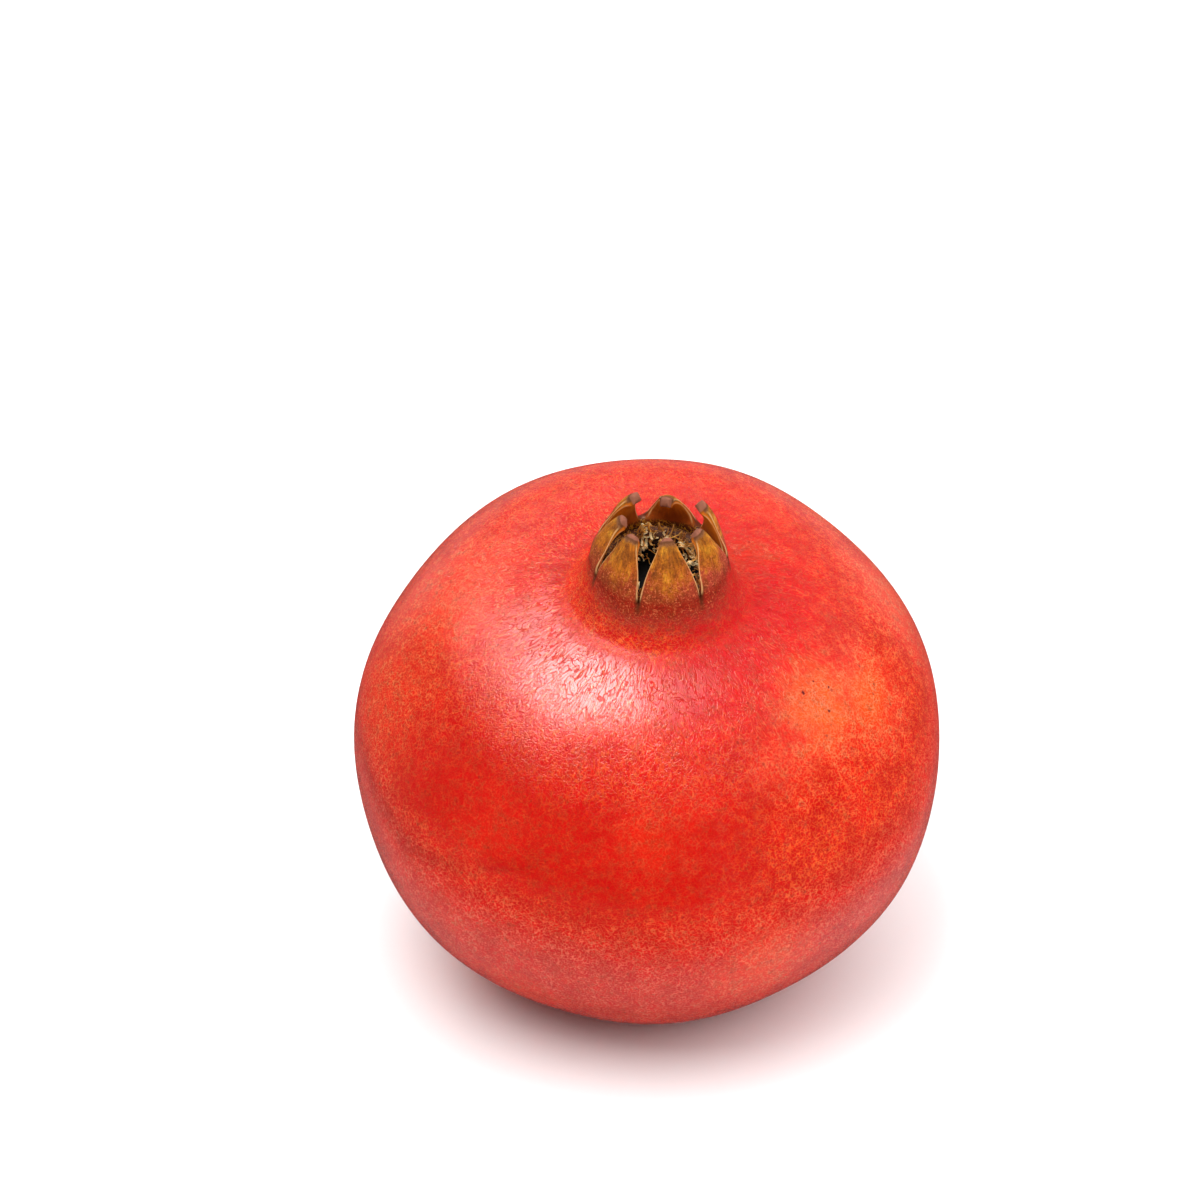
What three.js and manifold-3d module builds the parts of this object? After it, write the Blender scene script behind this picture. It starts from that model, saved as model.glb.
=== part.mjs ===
// A whole pomegranate: one grown fruit whose rind runs on into a seven-lobed calyx crown,
// and the dried stamens that stay behind in the crown's throat.
// Millimetres, +Z up. The fruit lies tipped towards -Y on a small flat spot at the origin.
// Shapes are worked out in the fruit's own frame: +Z along its axis to the crown, the origin on
// the equator plane, and turns measured round the axis from -Y towards +X.
import * as THREE from "three";
import { mergeVertices } from "three/addons/utils/BufferGeometryUtils.js";
import Module from "manifold-3d";

const { degToRad, lerp, smoothstep } = THREE.MathUtils;

// Body of the fruit
const EQUATOR_RADIUS = 48;
const CROWN_RISE = 41.8; // equator plane to the pole under the crown
const STEM_DROP = 41; // equator plane to the pole at the stem end
const RIDGE_HEIGHT = 0.3; // faint ridges that run up to the calyx lobes
const OVAL_HEIGHT = 0.3; // how far the round section is oval
const OVAL_PHASE = 1.15;
const CORNER_HEIGHT = 0.2; // how far the round section is three-cornered
const CORNER_PHASE = 2.7;

// How it lies
const TIP_ANGLE = degToRad(22.4); // of the fruit's axis, towards -Y
const ROLL_ANGLE = degToRad(2); // of the fruit's axis, towards +X
const FLAT_DEPTH = 1.7; // height pressed flat where it rests
const GROUND_SIZE = 80;

// Stem scar at the lower pole
const STUB_RADIUS = 2.7;
const STUB_LENGTH = 2.2;
const STUB_CHAMFER = 0.4;
const DIMPLE_RADIUS = 8.5;
const DIMPLE_DEPTH = 1.6;

// Neck and throat of the calyx crown
const SHOULDER_RADIUS = 15; // where the body starts to rise into the neck
const SHOULDER_PULL = 2.4; // how far the shoulder keeps its slope into the neck
const NECK_FLARE = 1; // how much wider the neck aims to be, NECK_PULL below the notches
const NECK_PULL = 4.4;
const NOTCH_RADIUS = 10.9; // outside, at the foot of the notches between lobes
const NOTCH_HEIGHT = 47.1;
const WALL = 1.9;
const THROAT_FLOOR = 35.5;
const BEND_ANGLE = degToRad(11.5); // of the crown, back from the fruit's axis
const BEND_HEADING = degToRad(185); // turn that the crown bends towards
const BEND_FROM = 30.5;
const BEND_LENGTH = 8.5;

// The calyx lobes: turn round the crown, length along the back, and lean inwards at the tip in degrees
const LOBES = [
  { turn: 6, length: 11.3, lean: 44 },
  { turn: 67, length: 10.2, lean: 44 },
  { turn: 111, length: 10.2, lean: 34 },
  { turn: 167, length: 11.3, lean: 64 },
  { turn: 227, length: 11.3, lean: 47 },
  { turn: 268, length: 10.5, lean: 52 },
  { turn: 317.5, length: 10.6, lean: 42 },
];
const LOBE_ROOT_LEAN = 4;
const LOBE_TIP_HALF = 0.95; // half width of the blunt tip
const LOBE_TAPER = 1.6; // how much of the taper is near the tip
const LOBE_TIP_THICK = 2;
const LOBE_TIP_CURL = 4; // radius that a lobe is curled to across its tip
const LOBE_EDGE = 0.9; // thickness along a lobe's edges

// Dried stamens, on a bed that lines the throat
const STAMENS = 84;
const GOLDEN_ANGLE = degToRad(137.508);
const BED_GAP = 0.35;
const BED_WALL = 1.1;
const BED_RIM = NOTCH_HEIGHT - 0.6;
const LOWEST_ROOT = 40; // height that the deepest stamens grow from
const FILAMENT_RADIUS = 0.28;
const SHORTEST_STAMEN = 2.2; // deepest in the throat
const LONGEST_STAMEN = 3.6; // at the bed's rim
const LOWEST_LIFT = degToRad(20); // of a stamen over the level, deepest in the throat
const HIGHEST_LIFT = degToRad(62);
const ANTHER_LENGTH = 1.5;
const ANTHER_WIDTH = 0.85;
const ANTHER_DEPTH = 0.6;

// Mesh fineness
const LOBE_COLUMNS = 8;
const LOBE_ROWS = 7;
const DIMPLE_ROWS = 3;
const BELLY_ROWS = 24;
const NECK_ROWS = 7;
const CUP_ROWS = 5;
const BED_SEGMENTS = 28;

const wasm = await Module();
wasm.setup();

// A point at a radius, turn and height about the fruit's axis.
function about(radius, turn, height) {
  return new THREE.Vector3(radius * Math.sin(turn), -radius * Math.cos(turn), height);
}

// A point of the rind, swollen a little by ridges that fade out towards both poles.
function onRind(radius, turn, height) {
  const fullness = (radius / EQUATOR_RADIUS) ** 2;
  const swell =
    RIDGE_HEIGHT * Math.cos(LOBES.length * (turn - degToRad(LOBES[0].turn))) +
    OVAL_HEIGHT * Math.cos(2 * turn + OVAL_PHASE) +
    CORNER_HEIGHT * Math.cos(3 * turn + CORNER_PHASE);
  return about(radius + swell * fullness, turn, height);
}

// Bends a point of the crown back along an arc, and straight on above it.
function bendCrown(point) {
  const rise = point.z - BEND_FROM;
  if (rise <= 0) return point;
  const heading = about(1, BEND_HEADING, 0);
  const onArc = Math.min(rise, BEND_LENGTH);
  const beyond = rise - onArc;
  const angle = (BEND_ANGLE * onArc) / BEND_LENGTH;
  const arcRadius = BEND_LENGTH / BEND_ANGLE;
  const forward = arcRadius * (1 - Math.cos(angle)) + beyond * Math.sin(angle);
  const upward = arcRadius * Math.sin(angle) + beyond * Math.cos(angle);
  const along = point.dot(heading);
  point.addScaledVector(heading, forward + along * (Math.cos(angle) - 1));
  point.z = BEND_FROM + upward - along * Math.sin(angle);
  return point;
}

function bendGeometry(geometry) {
  const position = geometry.getAttribute("position");
  const point = new THREE.Vector3();
  for (let i = 0; i < position.count; i++) {
    bendCrown(point.fromBufferAttribute(position, i));
    position.setXYZ(i, point.x, point.y, point.z);
  }
  return geometry;
}

// A closed mesh as a solid that can be joined and cut.
function solidOf(geometry) {
  const bare = geometry.index ? geometry.toNonIndexed() : geometry.clone();
  bare.deleteAttribute("normal");
  bare.deleteAttribute("uv");
  const merged = mergeVertices(bare);
  const mesh = new wasm.Mesh({
    numProp: 3,
    vertProperties: new Float32Array(merged.getAttribute("position").array),
    triVerts: new Uint32Array(merged.index.array),
  });
  return new wasm.Manifold(mesh);
}

function geometryOf(solid) {
  const { vertProperties, triVerts } = solid.getMesh();
  const geometry = new THREE.BufferGeometry();
  geometry.setAttribute("position", new THREE.BufferAttribute(vertProperties, 3));
  geometry.setIndex(new THREE.BufferAttribute(triVerts, 1));
  geometry.computeVertexNormals();
  return geometry;
}

// A skin of points laid in rows. Faces point out where rows climb the outside,
// and points in a row run anticlockwise seen from the crown.
class Skin {
  points = [];
  faces = [];

  row(points) {
    return points.map((point) => this.points.push(point.x, point.y, point.z) / 3 - 1);
  }

  stitch(lower, upper) {
    for (let i = 0; i + 1 < lower.length; i++) {
      this.faces.push(lower[i], lower[i + 1], upper[i + 1]);
      this.faces.push(lower[i], upper[i + 1], upper[i]);
    }
  }

  stitchAll(rows) {
    for (let i = 0; i + 1 < rows.length; i++) this.stitch(rows[i], rows[i + 1]);
  }

  // Closes a ring to one point on the axis.
  close(ring, apex, facingDown) {
    const [tip] = this.row([apex]);
    for (let i = 0; i + 1 < ring.length; i++) {
      const edge = facingDown ? [ring[i + 1], ring[i]] : [ring[i], ring[i + 1]];
      this.faces.push(...edge, tip);
    }
  }

  geometry() {
    const geometry = new THREE.BufferGeometry();
    geometry.setAttribute("position", new THREE.Float32BufferAttribute(this.points, 3));
    return geometry.setIndex(this.faces);
  }
}

// Turns of the points across one lobe, from half way to the lobe before it to half way to the next.
function lobeTurns(index) {
  const count = LOBES.length;
  const turnOf = (i) => degToRad(LOBES[(i + count) % count].turn + 360 * Math.floor(i / count));
  const from = (turnOf(index - 1) + turnOf(index)) / 2;
  const to = (turnOf(index) + turnOf(index + 1)) / 2;
  return Array.from({ length: LOBE_COLUMNS + 1 }, (_, c) => lerp(from, to, c / LOBE_COLUMNS));
}

// Stem scar, as radius and height: a cut stub in a shallow dimple.
function stemProfile() {
  const dimpleFloor = DIMPLE_DEPTH - STEM_DROP;
  const stubEnd = dimpleFloor - STUB_LENGTH;
  const footRadius = STUB_RADIUS + STUB_CHAMFER;
  const dimple = Array.from({ length: DIMPLE_ROWS }, (_, i) => {
    const share = i / DIMPLE_ROWS;
    const radius = lerp(footRadius, DIMPLE_RADIUS, share);
    const belly = -STEM_DROP * Math.sqrt(1 - (radius / EQUATOR_RADIUS) ** 2);
    return [radius, belly + (DIMPLE_DEPTH * (1 + Math.cos(Math.PI * share))) / 2];
  });
  return [[STUB_RADIUS - STUB_CHAMFER, stubEnd], [STUB_RADIUS, stubEnd + STUB_CHAMFER], ...dimple];
}

// Outside of the fruit, from the stem scar up to the foot of the notches.
function rindProfile() {
  const first = Math.asin(DIMPLE_RADIUS / EQUATOR_RADIUS);
  const last = Math.PI - Math.asin(SHOULDER_RADIUS / EQUATOR_RADIUS);
  const belly = Array.from({ length: BELLY_ROWS + 1 }, (_, i) => {
    const polar = lerp(first, last, i / BELLY_ROWS);
    const reach = polar < Math.PI / 2 ? STEM_DROP : CROWN_RISE;
    return [EQUATOR_RADIUS * Math.sin(polar), -reach * Math.cos(polar)];
  });
  const shoulder = new THREE.Vector2(...belly.at(-1));
  const slope = new THREE.Vector2(EQUATOR_RADIUS * Math.cos(last), CROWN_RISE * Math.sin(last));
  const neck = new THREE.CubicBezierCurve(
    shoulder,
    shoulder.clone().addScaledVector(slope.normalize(), SHOULDER_PULL),
    new THREE.Vector2(NOTCH_RADIUS + NECK_FLARE, NOTCH_HEIGHT - NECK_PULL),
    new THREE.Vector2(NOTCH_RADIUS, NOTCH_HEIGHT),
  );
  const rise = neck.getPoints(NECK_ROWS).slice(1);
  return [...stemProfile(), ...belly, ...rise.map(({ x, y }) => [x, y])];
}

// Radius of a round-cornered cup at a height between its floor and its rim.
function cupRadius(radius, rim, floor, height) {
  return radius * (1 - ((rim - height) / (rim - floor)) ** 4) ** 0.25;
}

// Wall of such a cup from its rim down to the edge of its floor.
function cupProfile(radius, rim, floor) {
  return Array.from({ length: CUP_ROWS }, (_, i) => {
    const angle = ((Math.PI / 2) * i) / CUP_ROWS;
    return [radius * Math.sqrt(Math.cos(angle)), rim - (rim - floor) * Math.sqrt(Math.sin(angle))];
  });
}

// One row of points across a lobe's outside or inside, at a share of its length from foot to tip.
function lobePoints(lobe, turns, share, inside) {
  const middle = (turns[0] + turns.at(-1)) / 2;
  const halfTurn = turns.at(-1) - middle;
  const rootLean = degToRad(LOBE_ROOT_LEAN);
  const tipLean = degToRad(lobe.lean);
  const lean = lerp(rootLean, tipLean, share);
  const arcRadius = lobe.length / (tipLean - rootLean);
  const spineRadius = NOTCH_RADIUS - arcRadius * (Math.cos(rootLean) - Math.cos(lean));
  const spineHeight = NOTCH_HEIGHT + arcRadius * (Math.sin(lean) - Math.sin(rootLean));
  const half = lerp(NOTCH_RADIUS * Math.sin(halfTurn), LOBE_TIP_HALF, share ** LOBE_TAPER);
  const curl = lerp(NOTCH_RADIUS, LOBE_TIP_CURL, share);
  const middleThick = lerp(WALL, LOBE_TIP_THICK, smoothstep(share, 0.4, 1));
  const thinEdge = lerp(LOBE_EDGE, LOBE_TIP_THICK, share ** 4);
  const edgeThick = lerp(WALL, thinEdge, smoothstep(share, 0, 0.2));
  return turns.map((turn) => {
    const across = (turn - middle) / halfTurn;
    const thick = inside ? lerp(middleThick, edgeThick, across ** 2) : 0;
    const offset = half * across * (1 - (thick / NOTCH_RADIUS) * (1 - share));
    const sink = offset ** 2 / (2 * curl) + thick;
    const radius = spineRadius - sink * Math.cos(lean);
    const height = spineHeight - sink * Math.sin(lean);
    const point = new THREE.Vector3(offset, -radius, height);
    return point.applyAxisAngle(new THREE.Vector3(0, 0, 1), middle);
  });
}

// Rind, neck and lobes as one closed skin.
function fruitSkin() {
  const skin = new Skin();
  const turns = LOBES.flatMap((_, i) => lobeTurns(i).slice(0, -1));
  const closedRing = ([radius, height]) => {
    const ring = skin.row(turns.map((turn) => bendCrown(onRind(radius, turn, height))));
    return [...ring, ring[0]];
  };
  const rind = rindProfile().map(closedRing);
  const throat = cupProfile(NOTCH_RADIUS - WALL, NOTCH_HEIGHT, THROAT_FLOOR).map(closedRing);
  skin.stitchAll(rind);
  skin.stitchAll(throat);
  skin.close(rind[0], about(0, 0, stemProfile()[0][1]), true);
  skin.close(throat.at(-1), bendCrown(about(0, 0, THROAT_FLOOR)), false);

  LOBES.forEach((lobe, index) => {
    const first = index * LOBE_COLUMNS;
    const climb = (foot, inside) => {
      const rows = [foot.slice(first, first + LOBE_COLUMNS + 1)];
      for (let r = 1; r <= LOBE_ROWS; r++) {
        const points = lobePoints(lobe, lobeTurns(index), r / LOBE_ROWS, inside);
        rows.push(skin.row(points.map(bendCrown)));
      }
      return rows;
    };
    const outer = climb(rind.at(-1), false);
    const inner = climb(throat[0], true);
    skin.stitchAll([...outer, ...inner.toReversed()]);
    skin.stitchAll(outer.map((row, r) => [row.at(-1), inner[r].at(-1)]));
    skin.stitchAll(outer.map((row, r) => [inner[r][0], row[0]]));
  });
  return skin.geometry();
}

// A three-sided filament between two points, thickest at its root.
function filament(root, tip) {
  const rod = new THREE.CylinderGeometry(FILAMENT_RADIUS * 0.7, FILAMENT_RADIUS, root.distanceTo(tip), 3);
  const aim = tip.clone().sub(root).normalize();
  const middle = root.clone().lerp(tip, 0.5);
  rod.applyQuaternion(new THREE.Quaternion().setFromUnitVectors(new THREE.Vector3(0, 1, 0), aim));
  return rod.translate(middle.x, middle.y, middle.z);
}

// A dry anther, as a faceted grain.
function anther(tip, turn, tilt) {
  const grain = new THREE.OctahedronGeometry(0.5);
  grain.scale(ANTHER_WIDTH, ANTHER_LENGTH, ANTHER_DEPTH).rotateX(tilt).rotateZ(turn);
  return grain.translate(tip.x, tip.y, tip.z);
}

// The bed, with the stamens that stand out of it on a golden-angle spiral from its floor to its rim.
function stamenHead() {
  const outerRadius = NOTCH_RADIUS - WALL - BED_GAP;
  const outerFloor = THROAT_FLOOR + BED_GAP;
  const innerRadius = outerRadius - BED_WALL;
  const innerFloor = outerFloor + BED_WALL;
  const profile = [
    [0, outerFloor],
    ...cupProfile(outerRadius, BED_RIM, outerFloor).reverse(),
    ...cupProfile(innerRadius, BED_RIM, innerFloor),
    [0, innerFloor],
  ].map(([radius, height]) => new THREE.Vector2(radius, height));
  let head = solidOf(new THREE.LatheGeometry(profile, BED_SEGMENTS).rotateX(Math.PI / 2));
  for (let i = 0; i < STAMENS; i++) {
    const turn = i * GOLDEN_ANGLE;
    const level = (i + 0.5) / STAMENS;
    const sway = Math.sin(13 * i);
    const length = lerp(SHORTEST_STAMEN, LONGEST_STAMEN, level) + 0.4 * sway;
    const lift = lerp(LOWEST_LIFT, HIGHEST_LIFT, level) + 0.14 * Math.sin(7.3 * i);
    const rootHeight = lerp(LOWEST_ROOT, BED_RIM - BED_WALL / 2, level);
    const wallRadius = cupRadius(innerRadius, BED_RIM, innerFloor, rootHeight);
    const root = about(wallRadius + BED_WALL / 2, turn, rootHeight);
    const tipRadius = wallRadius - length * Math.cos(lift);
    const tip = about(tipRadius, turn + 0.24 * Math.sin(4.8 * i), rootHeight + length * Math.sin(lift));
    head = head.add(solidOf(filament(root, tip))).add(solidOf(anther(tip, turn, sway)));
  }
  return head;
}

// Lies the fruit down, tipped over, with its lowest part pressed flat at the origin.
const reachDown = Math.hypot(EQUATOR_RADIUS * Math.sin(TIP_ANGLE), STEM_DROP * Math.cos(TIP_ANGLE));
const overhang = (EQUATOR_RADIUS ** 2 - STEM_DROP ** 2) * Math.sin(TIP_ANGLE) * Math.cos(TIP_ANGLE);
const lying = new THREE.Group();
lying.rotation.set(TIP_ANGLE, ROLL_ANGLE, 0);
lying.position.set(0, overhang / reachDown, reachDown - FLAT_DEPTH);
lying.updateMatrix();

const ground = new THREE.BoxGeometry(GROUND_SIZE, GROUND_SIZE, GROUND_SIZE).translate(0, 0, -GROUND_SIZE / 2);
ground.applyMatrix4(lying.matrix.clone().invert());

const rindFinish = new THREE.MeshStandardMaterial({ color: 0xd42a1e, roughness: 0.38, metalness: 0 });
const stamenFinish = new THREE.MeshStandardMaterial({ color: 0xa9712c, roughness: 0.8, metalness: 0 });

const fruit = new THREE.Mesh(geometryOf(solidOf(fruitSkin()).subtract(solidOf(ground))), rindFinish);
fruit.name = "fruit";
const stamens = new THREE.Mesh(bendGeometry(geometryOf(stamenHead())), stamenFinish);
stamens.name = "stamens";
lying.add(fruit, stamens);

const pomegranate = new THREE.Group();
pomegranate.add(lying);

export default pomegranate;
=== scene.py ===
"""A whole pomegranate in a plain studio: its rind and calyx crown, and the dried stamens in its throat.

Shapes are worked out in millimetres in the fruit's own frame: +Z along its axis to the crown, the origin
on the equator plane, and turns measured round the axis from -Y towards +X. They are then laid down, tipped,
in metres.
"""
import math
import random
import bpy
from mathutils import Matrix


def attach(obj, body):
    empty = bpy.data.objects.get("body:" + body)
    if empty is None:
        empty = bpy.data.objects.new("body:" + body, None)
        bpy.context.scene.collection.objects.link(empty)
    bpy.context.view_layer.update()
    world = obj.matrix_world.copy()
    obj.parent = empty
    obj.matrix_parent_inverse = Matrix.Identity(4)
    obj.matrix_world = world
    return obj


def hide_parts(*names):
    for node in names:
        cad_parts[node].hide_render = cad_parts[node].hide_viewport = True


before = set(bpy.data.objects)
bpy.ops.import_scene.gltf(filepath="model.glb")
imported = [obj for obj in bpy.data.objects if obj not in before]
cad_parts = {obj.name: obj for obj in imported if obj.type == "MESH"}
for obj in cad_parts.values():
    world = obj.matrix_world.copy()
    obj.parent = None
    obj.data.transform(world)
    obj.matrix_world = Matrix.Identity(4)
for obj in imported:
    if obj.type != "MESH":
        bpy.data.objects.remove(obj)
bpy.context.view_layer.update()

from types import SimpleNamespace

import bmesh
import bpy
from mathutils import Matrix, Vector, noise

MM = 0.001

# Body of the fruit
EQUATOR_RADIUS = 48
CROWN_RISE = 41.8
STEM_DROP = 41
RIDGE_HEIGHT = 0.3
OVAL_HEIGHT = 0.3
OVAL_PHASE = 1.15
CORNER_HEIGHT = 0.2
CORNER_PHASE = 2.7
DENT_HEIGHT = 0.08
DENT_SIZE = 13

# How it lies
TIP_ANGLE = math.radians(22.4)
ROLL_ANGLE = math.radians(2)
FLAT_DEPTH = 1.7

# Stem scar at the lower pole
STUB_RADIUS = 2.7
STUB_LENGTH = 2.2
STUB_CHAMFER = 0.4
HOLLOW_RADIUS = STUB_RADIUS * 0.45  # of the cut end of the stub
HOLLOW_DEPTH = 0.25
DIMPLE_RADIUS = 8.5
DIMPLE_DEPTH = 1.6

# Neck and throat of the calyx crown
SHOULDER_RADIUS = 15
SHOULDER_PULL = 2.4
NECK_FLARE = 1
NECK_PULL = 4.4
NOTCH_RADIUS = 10.9
NOTCH_HEIGHT = 47.1
WALL = 1.9
WALL_MIDDLE = NOTCH_RADIUS - WALL / 2
THROAT_FLOOR = 35.5
THROAT_SLACK = 0.5  # below the throat's floor, where the mesh still counts as the throat
RIM_TOLERANCE = 0.0001
BEND_ANGLE = math.radians(11.5)
BEND_HEADING = math.radians(185)
BEND_FROM = 30.5
BEND_LENGTH = 8.5
BEND_SPREAD = 5  # starting heights lie this far above and below BEND_FROM
BEND_STARTS = 11

# Calyx lobes: turn round the crown in degrees, length along the back, lean inwards at the tip in degrees,
# and how far up they stay wide
LOBES = [
    (6, 11.3, 44, 1.5),
    (67, 10.2, 44, 1.4),
    (111, 10.2, 34, 1.0),
    (167, 11.3, 64, 0.5),
    (227, 11.3, 47, 1.0),
    (268, 10.5, 52, 1.4),
    (317.5, 10.6, 42, 1.5),
]
SECTOR = math.tau / len(LOBES)
LOBE_ROOT_LEAN = math.radians(4)
LOBE_TIP_HALF = 0.78
LOBE_TIP_THICK = 1.6
LOBE_TIP_CURL = 4
LOBE_EDGE = 0.75
LOBE_SHARES = (0.035, 0.09, 0.16, 0.24, 0.33, 0.42, 0.51, 0.6, 0.69, 0.77, 0.84, 0.9, 0.945, 0.975, 1)
KEEL = 0.3  # how sharply the upper half of a lobe is folded along its middle
KEEL_ROUNDING = 0.5
KNOB = 0.14  # swelling of a lobe's tip
TIP_DOME = 0.35  # how far the scar at a lobe's tip stands out
TIP_SHRINK = 0.6

# Shares of a lobe's length between which it changes
TIP_THICKENS = (0.4, 1)
EDGE_THINS = (0, 0.16)
KEEL_RISES = (0.15, 0.6)
KNOB_RISES = (0.84, 0.93)
KNOB_FALLS = (0.95, 1)

# Bed of the dried stamens, which lines the throat
BED_GAP = 0.35
BED_WALL = 1.1
BED_RIM = NOTCH_HEIGHT - 0.6
BED_RADIUS = NOTCH_RADIUS - WALL - BED_GAP
BED_FLOOR = THROAT_FLOOR + BED_GAP
INNER_RADIUS = BED_RADIUS - BED_WALL
INNER_FLOOR = BED_FLOOR + BED_WALL

# Kinds of stamen: length of the straight thread, and how far it droops and its anther curls, in degrees
STAMEN_KINDS = {
    "stamen_short": (0.9, 50, 230),
    "stamen_curly": (1.2, 95, 290),
    "stamen_long": (1.8, 65, 210),
    "stamen_limp": (1.4, 130, 180),
}
THREAD_RADIUS = 0.12
THREAD_TAPER = (0.85, 0.85, 1)
DROOP_RADIUS = 1.3
ANTHER_NECK = 0.2
ANTHER_SWELL = (1.7, 2.2, 1.7)
ANTHER_END = (0.5, 0.5, 0.5)
CURL_RADIUS = 0.45

# How the stamens stand in the bed: lifts and sizes are for the lowest ones and for those at the rim
STAMENS = 520
STAMEN_SEED = 29
GOLDEN_ANGLE = math.radians(137.508)
LOWEST_ROOT = 39.4
ROOT_SINK = 0.35
RIM_CROWDING = 0.42  # below 1 crowds them towards the rim
STAMEN_LIFTS = (10, 78)  # over the level, in degrees
STAMEN_SIZES = (0.7, 1.35)
TURN_JITTER = 0.15
LIFT_JITTER = 16  # in degrees
HEADING_JITTER = 0.5
SIZE_JITTER = (0.75, 1.15)

# What the stamens' material is told of each point, from the bed to the anthers
BED_RIPENESS = 0
ROOT_RIPENESS = 0.2
THREAD_RIPENESS = 0.35
DROOP_RIPENESS = 0.5
ANTHER_RIPENESS = 1

# Mesh fineness
LOBE_COLUMNS = 16
COLUMNS = LOBE_COLUMNS * len(LOBES)
BELLY_ROWS = 54
NECK_ROWS = 14
DIMPLE_ROWS = 5
CUP_ROWS = 9
BED_COLUMNS = 42
THREAD_SIDES = 5
THREAD_ROWS = 2
DROOP_ROWS = 3
CURL_ROWS = 5

# Studio, in metres
FLOOR_SIZE = 8
FLOOR_SINK = 0.0002
FLOOR_WHITE = (0.94, 0.94, 0.94, 1)

# Level panels of light: middle, width, depth and glow; some only show in the shine, the others only light
SHINE_PANELS = {
    "key_shine": ((-0.64, -0.42, 1.045), 1.1, 1.05, 14.5),
    "side_shine": ((0.2, -0.6, 1.045), 0.6, 0.8, 2.2),
    "back_shine": ((-0.75, 0.4, 1.045), 0.8, 0.7, 5.8),
    "back_sheen": ((-0.2, 1.25, 1.045), 1.2, 1.2, 0.6),
}
FILL_PANELS = {
    "key_fill": ((-0.45, -0.35, 1.045), 0.9, 0.9, 6.0),
    "ceiling_fill": ((1.2, 0.0, 1.2), 4, 4, 1.85),
}

# Camera, in metres: what it aims at from where, and how far the frame is moved, as shares of the distance
LENS_MM = 150
SENSOR_MM = 36
FARTHEST = 20
LOOK_DOWN = math.radians(32.4)
DISTANCE = 0.8174
AIM = Vector((0, 0.005, 0.0404))
FRAME_RIGHT = -0.0095
FRAME_UP = 0.028


def lerp(start, end, share):
    return start + (end - start) * share


def smoothstep(value, low, high):
    share = min(max((value - low) / (high - low), 0), 1)
    return share * share * (3 - 2 * share)


def about(radius, turn, height):
    """A point at a radius, turn and height about the fruit's axis."""
    return Vector((radius * math.sin(turn), -radius * math.cos(turn), height))


def turn_of(point):
    return math.atan2(point.x, -point.y)


def swollen(point):
    """A point of the rind, pushed out a little by ridges and dents that fade out towards both poles."""
    radius = math.hypot(point.x, point.y)
    turn = turn_of(point)
    fullness = (radius / EQUATOR_RADIUS) ** 2
    swell = (
        RIDGE_HEIGHT * math.cos(len(LOBES) * (turn - math.radians(LOBES[0][0])))
        + OVAL_HEIGHT * math.cos(2 * turn + OVAL_PHASE)
        + CORNER_HEIGHT * math.cos(3 * turn + CORNER_PHASE)
        + DENT_HEIGHT * noise.noise(point / DENT_SIZE)
    )
    return about(radius + swell * fullness, turn, point.z)


def bend_crown(point):
    """Bends a point of the crown back, averaged over a spread of starting heights so that no edge shows."""
    total = Vector()
    for i in range(BEND_STARTS):
        total += bend_from(point, BEND_FROM + BEND_SPREAD * (2 * i / (BEND_STARTS - 1) - 1))
    return total / BEND_STARTS


def bend_from(point, start):
    """Bends a point back along an arc from a starting height, and straight on above it."""
    rise = point.z - start
    if rise <= 0:
        return point
    heading = about(1, BEND_HEADING, 0)
    on_arc = min(rise, BEND_LENGTH)
    beyond = rise - on_arc
    angle = BEND_ANGLE * on_arc / BEND_LENGTH
    arc_radius = BEND_LENGTH / BEND_ANGLE
    forward = arc_radius * (1 - math.cos(angle)) + beyond * math.sin(angle)
    upward = arc_radius * math.sin(angle) + beyond * math.cos(angle)
    along = point.dot(heading)
    bent = point + heading * (forward + along * (math.cos(angle) - 1))
    bent.z = start + upward - along * math.sin(angle)
    return bent


def lying_matrix():
    """Lies the fruit down, tipped over, with its lowest part just under the ground."""
    reach_down = math.hypot(EQUATOR_RADIUS * math.sin(TIP_ANGLE), STEM_DROP * math.cos(TIP_ANGLE))
    overhang = (EQUATOR_RADIUS**2 - STEM_DROP**2) * math.sin(TIP_ANGLE) * math.cos(TIP_ANGLE)
    place = Matrix.Translation((0, overhang / reach_down, reach_down - FLAT_DEPTH))
    return place @ Matrix.Rotation(TIP_ANGLE, 4, "X") @ Matrix.Rotation(ROLL_ANGLE, 4, "Y")


LYING = lying_matrix()


def laid_down(point):
    """A point of the grown fruit where it lies, in metres, pressed flat on the ground."""
    place = LYING @ bend_crown(point)
    place.z = max(place.z, 0)
    return place * MM


def stem_profile():
    """Stem scar, as radius and height: a cut stub in a shallow dimple."""
    stub_end = DIMPLE_DEPTH - STEM_DROP - STUB_LENGTH
    profile = [
        (HOLLOW_RADIUS, stub_end + HOLLOW_DEPTH),
        (STUB_RADIUS - STUB_CHAMFER, stub_end),
        (STUB_RADIUS, stub_end + STUB_CHAMFER),
        (STUB_RADIUS, stub_end + STUB_LENGTH / 2),
    ]
    for row in range(DIMPLE_ROWS):
        share = row / DIMPLE_ROWS
        radius = lerp(STUB_RADIUS + STUB_CHAMFER, DIMPLE_RADIUS, share)
        belly = -STEM_DROP * math.sqrt(1 - (radius / EQUATOR_RADIUS) ** 2)
        profile.append((radius, belly + DIMPLE_DEPTH * (1 + math.cos(math.pi * share)) / 2))
    return profile


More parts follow.
